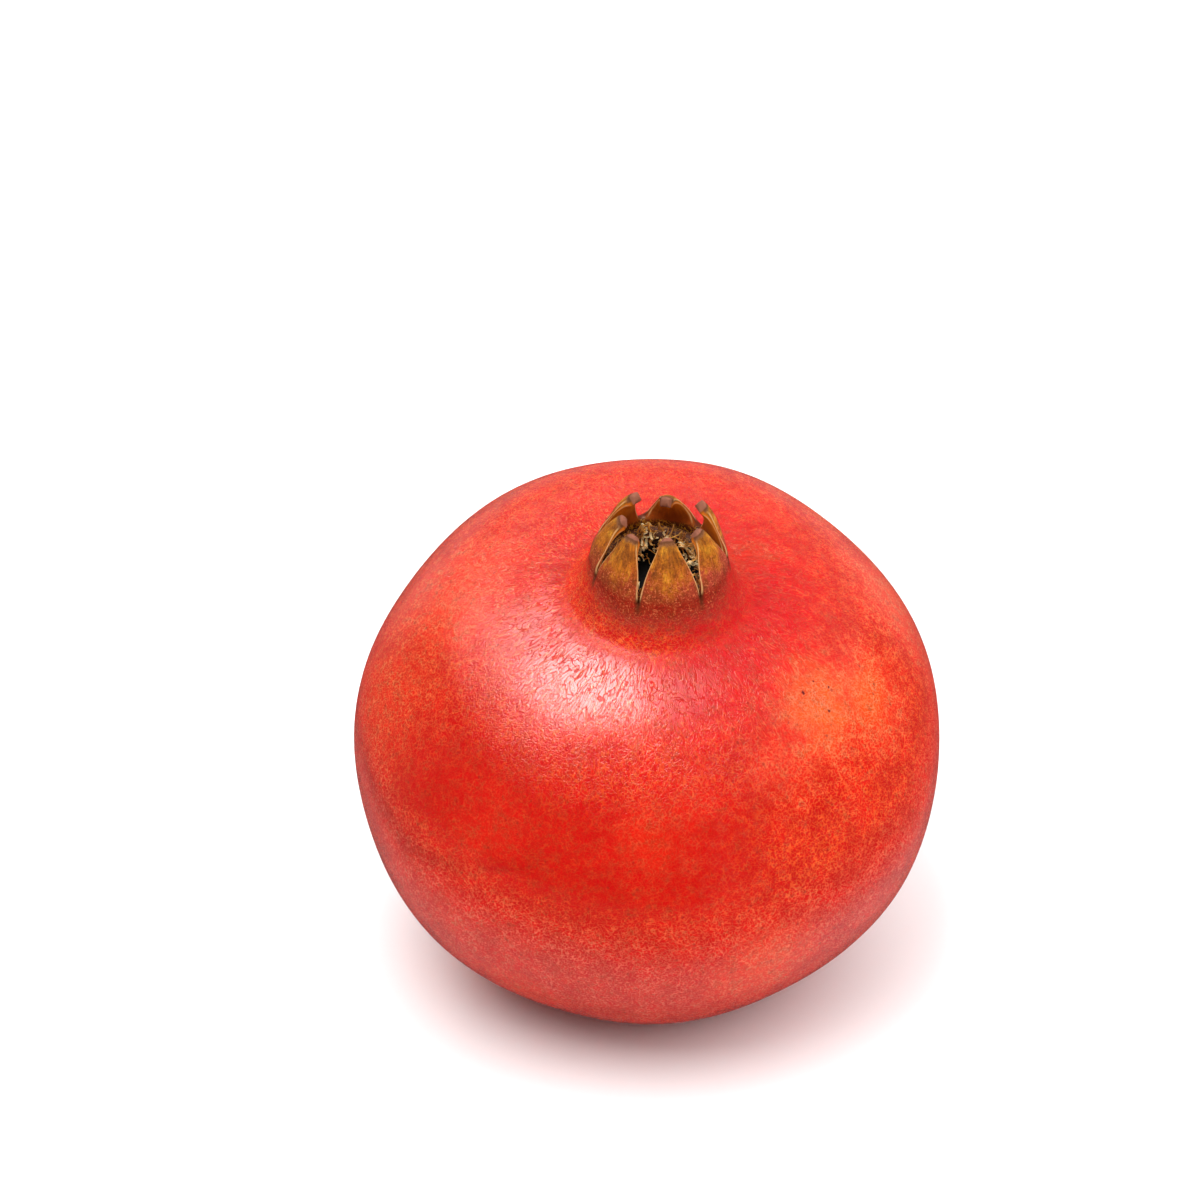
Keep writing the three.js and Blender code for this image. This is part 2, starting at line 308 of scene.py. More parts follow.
def rind_profile():
    """Outside of the fruit, from the stem scar up to the foot of the notches."""
    first = math.asin(DIMPLE_RADIUS / EQUATOR_RADIUS)
    last = math.pi - math.asin(SHOULDER_RADIUS / EQUATOR_RADIUS)
    profile = stem_profile()
    for row in range(BELLY_ROWS + 1):
        polar = lerp(first, last, row / BELLY_ROWS)
        reach = STEM_DROP if polar < math.pi / 2 else CROWN_RISE
        profile.append((EQUATOR_RADIUS * math.sin(polar), -reach * math.cos(polar)))
    shoulder = Vector(profile[-1])
    slope = Vector((EQUATOR_RADIUS * math.cos(last), CROWN_RISE * math.sin(last))).normalized()
    pulls = [
        shoulder,
        shoulder + SHOULDER_PULL * slope,
        Vector((NOTCH_RADIUS + NECK_FLARE, NOTCH_HEIGHT - NECK_PULL)),
        Vector((NOTCH_RADIUS, NOTCH_HEIGHT)),
    ]
    for row in range(1, NECK_ROWS + 1):
        share = row / NECK_ROWS
        rest = 1 - share
        weights = (rest**3, 3 * rest**2 * share, 3 * rest * share**2, share**3)
        profile.append(tuple(sum((w * p for w, p in zip(weights, pulls)), Vector((0, 0)))))
    return profile


def cup_profile(radius, rim, floor):
    """Wall of a round-cornered cup from its rim down to the edge of its floor."""
    angles = [math.pi / 2 * row / CUP_ROWS for row in range(CUP_ROWS)]
    return [(radius * math.sqrt(math.cos(a)), rim - (rim - floor) * math.sqrt(math.sin(a))) for a in angles]


def cup_radius(radius, rim, floor, height):
    return radius * (1 - ((rim - height) / (rim - floor)) ** 4) ** 0.25


def lobe_span(index):
    """Turn of a lobe's middle, and half the turn that it spans: it reaches half way to each neighbour."""
    turn = LOBES[index][0]
    before = LOBES[index - 1][0] - (360 if index == 0 else 0)
    after = LOBES[(index + 1) % len(LOBES)][0] + (360 if index == len(LOBES) - 1 else 0)
    start, end = math.radians((before + turn) / 2), math.radians((turn + after) / 2)
    return (start + end) / 2, (end - start) / 2


def lobe_point(index, share, across, inside):
    """A point of a lobe at a share of its length, across its width and through its thickness."""
    _, length, tip_degrees, taper = LOBES[index]
    middle, half_turn = lobe_span(index)
    tip_lean = math.radians(tip_degrees)
    lean = lerp(LOBE_ROOT_LEAN, tip_lean, share)
    arc_radius = length / (tip_lean - LOBE_ROOT_LEAN)
    spine_radius = NOTCH_RADIUS - arc_radius * (math.cos(LOBE_ROOT_LEAN) - math.cos(lean))
    spine_height = NOTCH_HEIGHT + arc_radius * (math.sin(lean) - math.sin(LOBE_ROOT_LEAN))
    half = lerp(NOTCH_RADIUS * math.sin(half_turn), LOBE_TIP_HALF, share**taper)
    knob = smoothstep(share, *KNOB_RISES) * (1 - smoothstep(share, *KNOB_FALLS))
    half += KNOB * knob
    curl = lerp(NOTCH_RADIUS, LOBE_TIP_CURL, share)
    middle_thick = lerp(WALL, LOBE_TIP_THICK, smoothstep(share, *TIP_THICKENS))
    thin_edge = lerp(LOBE_EDGE, LOBE_TIP_THICK, share**4)
    edge_thick = lerp(WALL, thin_edge, smoothstep(share, *EDGE_THINS))
    thick = inside * (lerp(middle_thick, edge_thick, across**2) + KNOB * knob)
    offset = half * across * (1 - thick / NOTCH_RADIUS * (1 - share))
    fold = math.hypot(offset, KEEL_ROUNDING) - KEEL_ROUNDING
    keel = KEEL * smoothstep(share, *KEEL_RISES) * fold * (1 - inside)
    sink = offset**2 / (2 * curl) + keel + thick
    radius = spine_radius - sink * math.cos(lean)
    height = spine_height - sink * math.sin(lean)
    return Matrix.Rotation(middle, 3, "Z") @ Vector((offset, -radius, height))


def start_piece(name):
    """Names the primitive just added, and opens it in edit mode."""
    piece = bpy.context.object
    piece.name = name
    piece.data.name = name
    bpy.ops.object.transform_apply(location=True, rotation=True, scale=True)
    bpy.ops.object.mode_set(mode="EDIT")
    return piece


def turn_shell(name, profile, columns):
    """A closed shell: a disc at the profile's first point, extruded ring by ring and closed at its last."""
    bpy.ops.object.select_all(action="DESELECT")
    radius, height = profile[0]
    bpy.ops.mesh.primitive_circle_add(
        vertices=columns, radius=radius, fill_type="TRIFAN", location=(0, 0, height)
    )
    shell = start_piece(name)
    bpy.ops.mesh.select_mode(type="EDGE")
    bpy.ops.mesh.select_all(action="DESELECT")
    bpy.ops.mesh.select_non_manifold(use_wire=False, use_multi_face=False, use_verts=False)
    for (radius, height), (next_radius, next_height) in zip(profile, profile[1:]):
        bpy.ops.mesh.extrude_edges_move(TRANSFORM_OT_translate={"value": (0, 0, next_height - height)})
        widen = next_radius / radius
        bpy.ops.transform.resize(value=(widen, widen, 1), center_override=(0, 0, 0))
    bpy.ops.mesh.extrude_edges_move()
    bpy.ops.mesh.merge(type="CENTER")
    return shell


def sector_of(point):
    """Which lobe's sector of the even rings a point lies in, and where across it from -1 to 1."""
    sectors = turn_of(point) / SECTOR
    index = round(sectors)
    return index % len(LOBES), 2 * (sectors - index)


def pick_rim(mesh, index):
    """Selects the faces of the neck's rim that one lobe grows from, and marks where they lie in it."""
    bpy.ops.mesh.select_all(action="DESELECT")
    body = bmesh.from_edit_mesh(mesh)
    across_layer = body.verts.layers.float["across"]
    inside_layer = body.verts.layers.float["inside"]
    for face in body.faces:
        on_rim = all(abs(vert.co.z - NOTCH_HEIGHT) < RIM_TOLERANCE for vert in face.verts)
        if not on_rim or sector_of(face.calc_center_median())[0] != index:
            continue
        face.select_set(True)
        for vert in face.verts:
            sectors = turn_of(vert.co) / SECTOR
            nearest = index + len(LOBES) * round((sectors - index) / len(LOBES))
            vert[across_layer] = 2 * (sectors - nearest)
            vert[inside_layer] = 0 if math.hypot(vert.co.x, vert.co.y) > WALL_MIDDLE else 1
    bmesh.update_edit_mesh(mesh)


def grow_lobe(mesh, index):
    """Extrudes one lobe row by row out of the rim, and domes the scar at its tip."""
    pick_rim(mesh, index)
    for share in LOBE_SHARES:
        bpy.ops.mesh.extrude_region_move()
        body = bmesh.from_edit_mesh(mesh)
        share_layer = body.verts.layers.float["share"]
        across_layer = body.verts.layers.float["across"]
        inside_layer = body.verts.layers.float["inside"]
        for vert in body.verts:
            if vert.select:
                vert[share_layer] = share
                vert.co = lobe_point(index, share, vert[across_layer], vert[inside_layer])
        bmesh.update_edit_mesh(mesh)
    centre = (lobe_point(index, 1, 0, 0) + lobe_point(index, 1, 0, 1)) / 2
    outwards = (lobe_point(index, 1, 0, 0.5) - lobe_point(index, LOBE_SHARES[-2], 0, 0.5)).normalized()
    bpy.ops.mesh.extrude_region_move(TRANSFORM_OT_translate={"value": outwards * TIP_DOME})
    shrink = (TIP_SHRINK, TIP_SHRINK, TIP_SHRINK)
    bpy.ops.transform.resize(value=shrink, center_override=centre + outwards * TIP_DOME)


def set_values(mesh, name, kind, values):
    """Keeps a number or a vector for each point of a mesh, for its material."""
    attribute = mesh.attributes.get(name) or mesh.attributes.new(name, kind, "POINT")
    field = "vector" if kind == "FLOAT_VECTOR" else "value"
    for item, value in zip(attribute.data, values):
        setattr(item, field, value)


def grow_fruit():
    """Rind, neck, throat and lobes as one skin."""
    throat = cup_profile(NOTCH_RADIUS - WALL, NOTCH_HEIGHT, THROAT_FLOOR)
    fruit = turn_shell("pomegranate_fruit", rind_profile() + throat, COLUMNS)
    mesh = fruit.data
    bpy.ops.mesh.select_mode(type="FACE")
    body = bmesh.from_edit_mesh(mesh)
    for name in ("share", "across", "inside"):
        body.verts.layers.float.new(name)
    bmesh.update_edit_mesh(mesh)
    for index in range(len(LOBES)):
        grow_lobe(mesh, index)

    body = bmesh.from_edit_mesh(mesh)
    share_layer = body.verts.layers.float["share"]
    inside_layer = body.verts.layers.float["inside"]
    across_layer = body.verts.layers.float["across"]
    for vert in body.verts:
        if vert[share_layer] == 0:
            radius = math.hypot(vert.co.x, vert.co.y)
            in_throat = vert.co.z > THROAT_FLOOR - THROAT_SLACK and radius < WALL_MIDDLE
            vert[inside_layer] = 1 if in_throat else 0
            index, across = sector_of(vert.co)
            vert[across_layer] = across
            middle, half_turn = lobe_span(index)
            vert.co = about(radius, middle + half_turn * across, vert.co.z)
        vert[across_layer] = abs(vert[across_layer])
    bmesh.update_edit_mesh(mesh)
    bpy.ops.mesh.select_all(action="SELECT")
    bpy.ops.mesh.normals_make_consistent(inside=False)
    bpy.ops.object.mode_set(mode="OBJECT")
    smooth(fruit)

    grown = [swollen(vert.co) for vert in mesh.vertices]
    set_values(mesh, "grown", "FLOAT_VECTOR", grown)
    for vert, point in zip(mesh.vertices, grown):
        vert.co = laid_down(point)
    return fruit


def smooth(piece):
    """Rounds a piece off with one level of subdivision."""
    rounding = piece.modifiers.new("rounding", "SUBSURF")
    rounding.levels = 1
    rounding.render_levels = 1
    bpy.ops.object.modifier_apply(modifier=rounding.name)
    bpy.ops.object.shade_smooth()


def mark(mesh, name, value):
    """Sets a value on the selected points of the mesh being modelled."""
    body = bmesh.from_edit_mesh(mesh)
    layer = body.verts.layers.float.get(name) or body.verts.layers.float.new(name)
    for vert in body.verts:
        if vert.select:
            vert[layer] = value
    bmesh.update_edit_mesh(mesh)


def model_stamen(name, length, droop, curl):
    """One dried stamen along +Z: a thread that droops over towards +X into a curled anther."""
    bpy.ops.object.select_all(action="DESELECT")
    bpy.ops.mesh.primitive_circle_add(vertices=THREAD_SIDES, radius=THREAD_RADIUS, fill_type="NGON")
    stamen = start_piece(name)
    mesh = stamen.data
    bpy.ops.mesh.select_mode(type="FACE")
    bpy.ops.mesh.select_all(action="SELECT")
    mark(mesh, "ripeness", ROOT_RIPENESS)
    for _ in range(THREAD_ROWS):
        bpy.ops.mesh.extrude_region_move(TRANSFORM_OT_translate={"value": (0, 0, length / THREAD_ROWS)})
        bpy.ops.transform.resize(value=THREAD_TAPER, center_override=(0, 0, 0))
        mark(mesh, "ripeness", THREAD_RIPENESS)
    pivot = (DROOP_RADIUS, 0, length)
    bpy.ops.mesh.spin(steps=DROOP_ROWS, angle=droop, center=pivot, axis=(0, 1, 0), use_auto_merge=False)
    mark(mesh, "ripeness", DROOP_RIPENESS)
    heading = Vector((math.sin(droop), 0, math.cos(droop)))
    neck = selected_centre(mesh) + heading * ANTHER_NECK
    bpy.ops.mesh.extrude_region_move(TRANSFORM_OT_translate={"value": heading * ANTHER_NECK})
    bpy.ops.transform.resize(value=ANTHER_SWELL, center_override=neck)
    mark(mesh, "ripeness", ANTHER_RIPENESS)
    sideways = Vector((math.cos(droop), 0, -math.sin(droop)))
    pivot = neck + sideways * CURL_RADIUS
    bpy.ops.mesh.spin(steps=CURL_ROWS, angle=curl, center=pivot, axis=(0, 1, 0), use_auto_merge=False)
    mark(mesh, "ripeness", ANTHER_RIPENESS)
    bpy.ops.transform.resize(value=ANTHER_END, center_override=selected_centre(mesh))
    bpy.ops.mesh.select_all(action="SELECT")
    bpy.ops.mesh.normals_make_consistent(inside=False)
    bpy.ops.object.mode_set(mode="OBJECT")
    return stamen


def selected_centre(mesh):
    body = bmesh.from_edit_mesh(mesh)
    points = [vert.co for vert in body.verts if vert.select]
    return sum(points, Vector()) / len(points)


def model_bed():
    """The thin cup that the stamens stand on."""
    outside = list(reversed(cup_profile(BED_RADIUS, BED_RIM, BED_FLOOR)))
    inside = cup_profile(INNER_RADIUS, BED_RIM, INNER_FLOOR)
    bed = turn_shell("dried_stamens", outside + inside, BED_COLUMNS)
    bpy.ops.mesh.select_all(action="SELECT")
    bpy.ops.mesh.normals_make_consistent(inside=False)
    mark(bed.data, "ripeness", BED_RIPENESS)
    bpy.ops.object.mode_set(mode="OBJECT")
    return bed


def stamen_place(i, chance):
    """Place, aim and size of one stamen on a golden-angle spiral from the bed's floor to its rim."""
    turn = i * GOLDEN_ANGLE + chance.uniform(-TURN_JITTER, TURN_JITTER)
    level = ((i + 0.5) / STAMENS) ** RIM_CROWDING
    root_height = lerp(LOWEST_ROOT, BED_RIM - BED_WALL / 2, level)
    wall_radius = cup_radius(INNER_RADIUS, BED_RIM, INNER_FLOOR, root_height)
    root = about(wall_radius + ROOT_SINK, turn, root_height)
    lift = math.radians(lerp(*STAMEN_LIFTS, level) + chance.uniform(-LIFT_JITTER, LIFT_JITTER))
    heading = turn + chance.uniform(-HEADING_JITTER, HEADING_JITTER)
    inwards = about(-math.cos(lift), heading, math.sin(lift))
    aim = inwards.to_track_quat("Z", "Y").to_matrix().to_4x4()
    spin = Matrix.Rotation(chance.uniform(0, math.tau), 4, "Z")
    size = Matrix.Scale(lerp(*STAMEN_SIZES, level) * chance.uniform(*SIZE_JITTER), 4)
    return Matrix.Translation(root) @ aim @ spin @ size


def plant_stamens(joined, kinds):
    """Adds copies of the stamens to the bed's mesh, but none that would come through the throat's wall."""
    chance = random.Random(STAMEN_SEED)
    shade_layer = joined.verts.layers.float.new("shade")
    for i in range(STAMENS):
        place = stamen_place(i, chance)
        copy = chance.choice(kinds).data.copy()
        copy.transform(place)
        if max(math.hypot(vert.co.x, vert.co.y) for vert in copy.vertices) <= WALL_MIDDLE:
            start = len(joined.verts)
            joined.from_mesh(copy)
            joined.verts.ensure_lookup_table()
            shade = chance.random()
            for vert in joined.verts[start:]:
                vert[shade_layer] = shade
        bpy.data.meshes.remove(copy)


def grow_stamens():
    """The bed, with the stamens that stand out of it."""
    bed = model_bed()
    kinds = []
    for name, (length, droop, curl) in STAMEN_KINDS.items():
        kinds.append(model_stamen(name, length, math.radians(droop), math.radians(curl)))
    joined = bmesh.new()
    joined.from_mesh(bed.data)
    plant_stamens(joined, kinds)
    joined.to_mesh(bed.data)
    joined.free()
    for kind in kinds:
        bpy.data.objects.remove(kind)
    bpy.ops.object.select_all(action="DESELECT")
    bed.select_set(True)
    bpy.context.view_layer.objects.active = bed
    bpy.ops.object.shade_smooth()
    grown = [vert.co.copy() for vert in bed.data.vertices]
    set_values(bed.data, "grown", "FLOAT_VECTOR", grown)
    for vert, point in zip(bed.data.vertices, grown):
        vert.co = laid_down(point)
    return bed


def tint(red, green, blue):
    """A colour in light, from the 0 to 255 that a screen shows."""
    parts = [part / 255 for part in (red, green, blue)]
    light = [part / 12.92 if part <= 0.04045 else ((part + 0.055) / 1.055) ** 2.4 for part in parts]
    return (*light, 1)


class Value:
    """A shader value that adds, multiplies and divides as a number does."""

    def __init__(self, paint, socket):
        self.paint = paint
        self.socket = socket

    def math(self, operation, *others):
        node = self.paint.node("ShaderNodeMath", {"operation": operation}, self, *others)
        return Value(self.paint, node.outputs[0])

    def __add__(self, other):
        return self.math("ADD", other)

    def __sub__(self, other):
        return self.math("SUBTRACT", other)

    def __mul__(self, other):
        return self.math("MULTIPLY", other)

    def __truediv__(self, other):
        return self.math("DIVIDE", other)

    def __pow__(self, other):
        return self.math("POWER", other)

    def __radd__(self, other):
        return self + other

    def __rsub__(self, other):
        return self * -1 + other

    def __rmul__(self, other):
        return self * other

    def __rtruediv__(self, other):
        return self**-1 * other

    def __abs__(self):
        return self.math("ABSOLUTE")

    def step(self, low, high):
        """Rises smoothly from 0 at low to 1 at high."""
        settings = {"interpolation_type": "SMOOTHSTEP"}
        node = self.paint.node("ShaderNodeMapRange", settings, self, low, high, 0.0, 1.0)
        return Value(self.paint, node.outputs[0])


class Paint:
    """The nodes that work out a material's shader, or the backdrop's."""

    def __init__(self, owner, shader="Principled BSDF"):
        owner.use_nodes = True
        self.owner = owner
        self.tree = owner.node_tree
        self.shader = self.tree.nodes[shader]

    def plug(self, source, socket):
        if isinstance(source, Value):
            source = source.socket
        if isinstance(source, bpy.types.NodeSocket):
            self.tree.links.new(source, socket)
        else:
            socket.default_value = source

    def node(self, kind, settings, *sources, **named):
        node = self.tree.nodes.new(kind)
        for setting, value in settings.items():
            setattr(node, setting, value)
        for source, socket in zip(sources, node.inputs):
            self.plug(source, socket)
        for name, source in named.items():
            self.plug(source, node.inputs[name.replace("_", " ")])
        return node

    def attribute(self, name):
        return self.node("ShaderNodeAttribute", {"attribute_name": name})

    def number(self, name):
        return Value(self, self.attribute(name).outputs["Fac"])

    def vector(self, x, y, z):
        return self.node("ShaderNodeCombineXYZ", {}, x, y, z).outputs[0]

    def split(self, vector):
        node = self.node("ShaderNodeSeparateXYZ", {}, vector)
        return [Value(self, socket) for socket in node.outputs]

    def vector_math(self, operation, *vectors):
        return self.node("ShaderNodeVectorMath", {"operation": operation}, *vectors)

    def noise(self, vector, size, detail=2.0, roughness=0.5):
        """Noise with features about as large as size, in the vector's own units."""
        named = {"Scale": 1 / size, "Detail": detail, "Roughness": roughness}
        node = self.node("ShaderNodeTexNoise", {}, Vector=vector, **named)
        return Value(self, node.outputs["Fac"])

    def fibres(self, vector, size):
        """Thin curled lines, along the middle level of a smooth noise."""
        return (1 - abs(self.noise(vector, size, 0.0) * 2 - 1)).step(0.88, 0.95)

    def swirl(self, vector, size, amount):
        """The vector, pushed about by a smooth noise."""
        node = self.node("ShaderNodeTexNoise", {}, Vector=vector, Scale=1 / size, Detail=1.0)
        centred = self.vector_math("SUBTRACT", node.outputs["Color"], (0.5, 0.5, 0.5)).outputs[0]
        push = self.vector_math("MULTIPLY", centred, (amount, amount, amount)).outputs[0]
        return self.vector_math("ADD", vector, push).outputs[0]

    def mix(self, share, under, over):
        """A colour laid over another: the sockets for colours are picked by their number."""
        node = self.node("ShaderNodeMix", {"data_type": "RGBA"})
        self.plug(share, node.inputs[0])
        self.plug(under, node.inputs[6])
        self.plug(over, node.inputs[7])
        return node.outputs[2]

    def near(self, vector, centre, reach):
        """1 at a point, falling to 0 at a distance."""
        node = self.vector_math("DISTANCE", vector, centre)
        return 1 - Value(self, node.outputs["Value"]) / reach

    def bump(self, height, distance):
        return self.node("ShaderNodeBump", {}, Height=height, Distance=distance, Strength=1.0).outputs[0]

    def shade(self, **named):
        for name, source in named.items():
            self.plug(source, self.shader.inputs[name.replace("_", " ")])

    def crossfade(self, share, **named):
        """Fades from the shader to a second one."""
        second = self.node("ShaderNodeBsdfPrincipled", {}, **named)
        fade = self.node("ShaderNodeMixShader", {}, share, self.shader.outputs[0], second.outputs[0])
        self.plug(fade.outputs[0], self.tree.nodes["Material Output"].inputs["Surface"])


# Colours of the rind
RIPE_RED = tint(222, 6, 2)
DEEP_RED = tint(190, 4, 3)
BLUSH = tint(230, 38, 10)
SUNNY_ORANGE = tint(240, 94, 20)
RASPBERRY = tint(196, 8, 18)
RED_FIBRE = tint(250, 112, 42)
PALE_FIBRE = tint(253, 162, 112)
PINK_FIBRE = tint(238, 112, 84)
PORE = tint(150, 4, 6)
SPECK = tint(84, 8, 14)

# Pattern of the rind, with the depth of its relief in metres
BODY_ARC = 46  # turns an angle along a meridian into a length
CURL_SIZE = 0.66
FINE_CURL_SIZE = 0.5
CREASE_SIZE = 0.7
COMB_RADIUS = 22  # where the combed fibres have their true width
COMB_STRETCH = 2.4
COMB_SIZE = 0.42
COMBED_CREASE_SIZE = 0.52
PORE_SPACING = 1.5
LEATHER_RELIEF = 0.00007
BARK_RELIEF = 0.00012

# Where the rind has ripened to orange: a point in the fruit's own frame, how far it spreads, and how much
ORANGE_PATCHES = [
    ((-31, 7, 31), 24, 0.45),
    ((-41, -6, 20), 20, 0.38),
    ((14, 9.5, 39), 11, 0.9),
    ((24.5, -15, 33), 15, 0.9),
    ((33, -10, 28), 14, 0.7),
    ((20, -24, 31), 13, 0.4),
    ((-1, -37, 26.5), 11, 0.42),
    ((19, -44, 2), 15, 0.5),
    ((38, 14, 21), 18, 0.5),
    ((28, 33, 14), 22, 0.7),
    ((-12, 44, 8), 20, 0.6),
    ((-30, -20, -28), 18, 0.6),
]

# Dark specks: a point in the fruit's own frame, and a radius
SPECKS = [
    ((22.8, -15.1, 34.4), 0.34),
    ((26.9, -12.2, 33), 0.3),
    ((27, -15.8, 31.7), 0.3),
    ((24.4, -12.6, 34.3), 0.26),
]

# Colours of the crown
NECK_BROWN = tint(146, 30, 14)
LOBE_FOOT = tint(144, 54, 26)
LOBE_RUDDY = tint(160, 58, 40)
LOBE_OCHRE = tint(186, 106, 24)
LOBE_OLIVE = tint(150, 92, 32)
LOBE_BROWN = tint(112, 54, 18)
LOBE_GOLD = tint(216, 146, 40)
LOBE_TIP = tint(124, 78, 50)
LOBE_LINE = tint(70, 34, 12)
LOBE_FIBRE = tint(226, 122, 78)
SCAR = tint(146, 90, 70)
RIM_CREAM_AND_HIGHLIGHT = tint(222, 170, 112)
INNER_ORANGE = tint(214, 112, 24)
INNER_SHADE = tint(150, 68, 18)
THROAT_BROWN_AND_SHADE = tint(84, 40, 14)

# Colours of the stamens and their bed, and the depth of their relief in metres
THREAD_BROWN = tint(150, 84, 28)
THREAD_GOLD = tint(234, 166, 74)
ANTHER_GOLD = tint(240, 174, 78)
ANTHER_CREAM_AND_HIGHLIGHT = tint(255, 240, 190)
BED_SHADE = tint(14, 7, 4)
BED_BROWN = tint(84, 42, 16)
BED_LINT = tint(206, 138, 58)
STAMEN_RELIEF = 0.00005


def rind_place(paint):
    """Where a point of the rind is: in the fruit's own frame, and along, across and through its lobe."""
    grown = paint.attribute("grown").outputs["Vector"]
    x, y, z = paint.split(grown)
    return SimpleNamespace(
        grown=grown,
        x=x,
        y=y,
        z=z,
        radius=(x * x + y * y) ** 0.5,
        share=paint.number("share"),
        edge=paint.number("across"),
        inside=paint.number("inside"),
    )


def rind_pattern(paint, at):
    """Fibres and creases, curled on the body and combed along the meridians near the crown, and noises."""
    arc = (at.z / CROWN_RISE).math("ARCTAN2", at.radius / EQUATOR_RADIUS) * BODY_ARC
    curled = paint.swirl(at.grown, 2.0, 1.2)
    fine_curls = paint.fibres(at.grown, FINE_CURL_SIZE) * 0.9
    curls = paint.fibres(curled, CURL_SIZE).math("MAXIMUM", fine_curls)
    curly_creases = paint.fibres(paint.swirl(curled, 0.9, 0.6), CREASE_SIZE)
    comb_ring = COMB_RADIUS / at.radius
    combed = paint.vector(at.x * comb_ring, at.y * comb_ring, arc / COMB_STRETCH)
    combed = paint.swirl(combed, 2.4, 2.6)
    combs = paint.fibres(combed, COMB_SIZE)
    combed_creases = paint.fibres(paint.swirl(combed, 1.0, 0.8), COMBED_CREASE_SIZE)
    ragged_radius = at.radius + paint.noise(at.grown, 6) * 16
    near_crown = ragged_radius.step(46, 26) * at.radius.step(13.5, 16)
    grain = paint.noise(at.grown, 0.42, 2.0, 0.6)
    scatter = paint.noise(at.grown, 1.6, 2.0)
    streaked = paint.vector(at.edge * 3, at.share * 1.3, at.x * 0.3)
    return SimpleNamespace(
        near_crown=near_crown,
        fibre=curls + (combs - curls) * near_crown,
        crease=curly_creases + (combed_creases - curly_creases) * near_crown,
        grain=grain,
        scatter=scatter,
        speckle=(grain - 0.5) * 0.6 + (scatter - 0.5) * 0.7,
        mottle=paint.noise(at.grown, 4.5, 3.0, 0.6),
        cloud=paint.noise(at.grown, 19, 2.0),
        streak=paint.noise(streaked, 0.6, 3.0, 0.6),
    )


def ripe_skin(paint, at, pattern, shaded_belt):
    """Red that ripens to orange in patches, under pale fibres, with painted shade in the creases, pores and
    a few specks.
    """
    scatter = pattern.scatter
    mottle = pattern.mottle
    brightness = mottle * 0.6 + pattern.cloud * 0.4 + (scatter - 0.5) * 0.7
    red = paint.mix(brightness.step(0.36, 0.62), DEEP_RED, RIPE_RED)
    orange = pattern.cloud.step(0.52, 0.75) * 0.3
    for centre, reach, most in ORANGE_PATCHES:
        patch = paint.near(at.grown, centre, reach) + (mottle - 0.5) * 0.6 + (scatter - 0.5) * 0.5
        orange = orange.math("MAXIMUM", patch.step(0, 0.9) * most)
    skin = paint.mix(orange.step(0, 0.5), red, BLUSH)
    skin = paint.mix(orange.step(0.35, 1.0), skin, SUNNY_ORANGE)
    raspberry = at.radius.step(36, 16) * at.x.step(-5, 8)
    skin = paint.mix(raspberry * 0.85, skin, RASPBERRY)
    # Partly the rind's own deeper red, partly painted shade: a band across the front of the lower body is
    # laid over with deep red.
    skin = paint.mix(shaded_belt * (1 - orange) * 0.8, skin, DEEP_RED)

    lower = at.z.step(19, 8)
    patchy = scatter.step(0.4, 0.6).math("MAXIMUM", lower * 0.6)
    fleck = pattern.fibre * (0.5 + 0.5 * patchy) * (0.7 + 0.3 * mottle.step(0.36, 0.62))
    fading = (0.85 - shaded_belt * 0.66 - raspberry * 0.62).math("MAXIMUM", 0.12)
    # Fibres are paler where the rind has ripened to orange, and a little paler near the crown as a painted
    # sheen.
    pale = orange.math("MAXIMUM", pattern.near_crown * 0.1)
    warm = paint.mix(pale, RED_FIBRE, PALE_FIBRE)
    fleck_colour = paint.mix(lower * (1 - orange), warm, PINK_FIBRE)
    skin = paint.mix(fleck * fading, skin, fleck_colour)
    # Painted shade: the creases of the relief are darkened to deep red, more so near the crown.
    skin = paint.mix(pattern.crease * (0.25 + pattern.near_crown * 0.2), skin, DEEP_RED)
    dots = paint.node("ShaderNodeTexVoronoi", {}, Vector=at.grown, Scale=1 / PORE_SPACING)
    pore = Value(paint, dots.outputs["Distance"]).step(0.22, 0.1) * scatter.step(0.5, 0.56)
    skin = paint.mix(pore * 0.6, skin, PORE)
    for centre, reach in SPECKS:
        wobbled = paint.near(at.grown, centre, reach) + (pattern.grain - 0.5) * 2.4
        skin = paint.mix(wobbled.step(0.1, 0.4), skin, SPECK)
    return skin


def lobe_colour(paint, at, pattern):
    """Outside of the calyx lobes: ruddy at the foot, ochre and olive above it, blotched, with golden
    patches that are partly painted sheen, and grooved.
    """
    streaky = pattern.streak - 0.5
    climb = at.share + pattern.speckle * 0.6 + streaky * 0.4 + (pattern.mottle - 0.5) * 0.5
    foot = paint.mix(at.x.step(0, 8), LOBE_FOOT, LOBE_RUDDY)
    lobe = paint.mix((climb - at.edge * 0.3).step(0.02, 0.62), foot, LOBE_OCHRE)
    lobe = paint.mix((climb + streaky * 0.5).step(0.6, 1.05), lobe, LOBE_OLIVE)
    blotch_and_sheen = paint.noise(paint.vector(at.x, at.y, at.z * 0.6), 1.5, 2.0)
    lobe = paint.mix(blotch_and_sheen.step(0.5, 0.36) * 0.6, lobe, LOBE_BROWN)
    # Golden patches: partly the lobes' own ochre, partly painted sheen.
    lobe = paint.mix(blotch_and_sheen.step(0.54, 0.68) * climb.step(0.2, 0.5) * 0.55, lobe, LOBE_GOLD)
    grooves = (1 - abs(pattern.streak * 2 - 1)).step(0.84, 0.98) * at.share.step(0.2, 0.6)
    keel_line = at.edge.step(0.06, 0.0) * (at.share + streaky * 0.6).step(0.4, 0.7)
    lobe = paint.mix(grooves.math("MAXIMUM", keel_line) * 0.4, lobe, LOBE_LINE)
    return paint.mix((at.share + pattern.speckle * 0.1).step(0.88, 0.95), lobe, LOBE_TIP)


